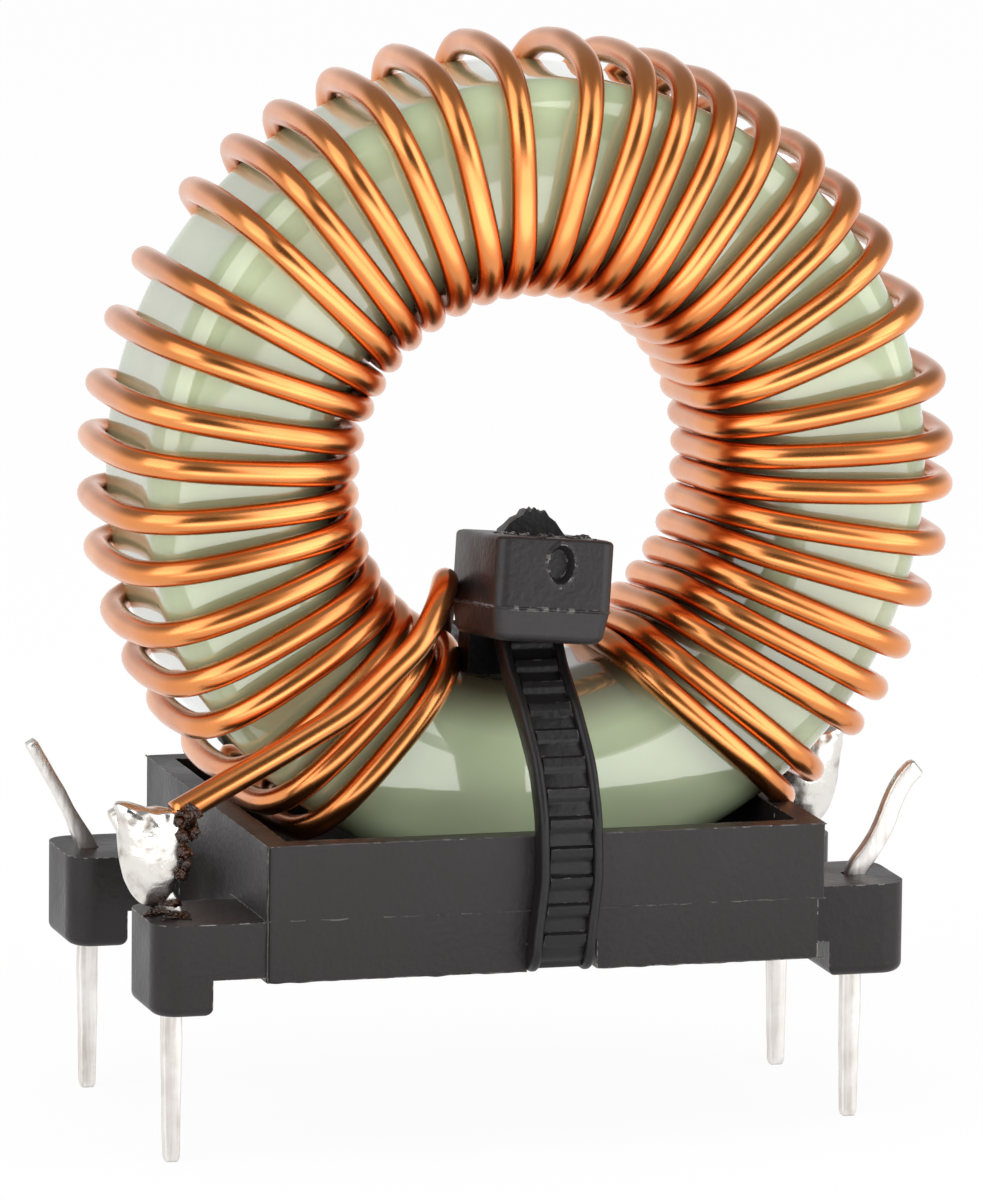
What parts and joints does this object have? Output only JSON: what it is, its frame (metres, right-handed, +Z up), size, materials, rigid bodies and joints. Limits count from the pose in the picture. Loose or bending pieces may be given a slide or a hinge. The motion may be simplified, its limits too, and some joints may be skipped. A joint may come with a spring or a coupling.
{
  "type": "toroidal inductor",
  "caption": "Toroidal power inductor: enamelled copper wire wound on a coated ring core, strapped upright by a cable tie to a plastic base with through-hole pins.",
  "frame": {"origin": "centre of the pin footprint on the board's surface, in the plane of the feet", "axes": "+Z up from the board, +X along the base towards the end with the closer pair of pins, +Y to the rear, away from the tie's head"},
  "size_m": [0.0369, 0.0228, 0.0446],
  "materials": {
    "core_coating": "pale sage-green epoxy, glossy, finely specked",
    "magnet_wire": "copper under clear enamel, glossy",
    "base_plastic": "charcoal moulded plastic, satin",
    "tie_nylon": "black nylon, satin",
    "pin_strip": "tinned strip with sheared edges",
    "solder": "bright solder"
  },
  "bodies": {
    "root": {"toroid_core": "core_coating", "winding": "magnet_wire", "mounting_base": "base_plastic", "cable_tie": "tie_nylon", "pin_front_left": "pin_strip", "pin_rear_left": "pin_strip", "pin_front_right": "pin_strip", "pin_rear_right": "pin_strip", "solder_joint_front_left": "solder", "solder_joint_rear_right": "solder"}
  },
  "joints": []
}
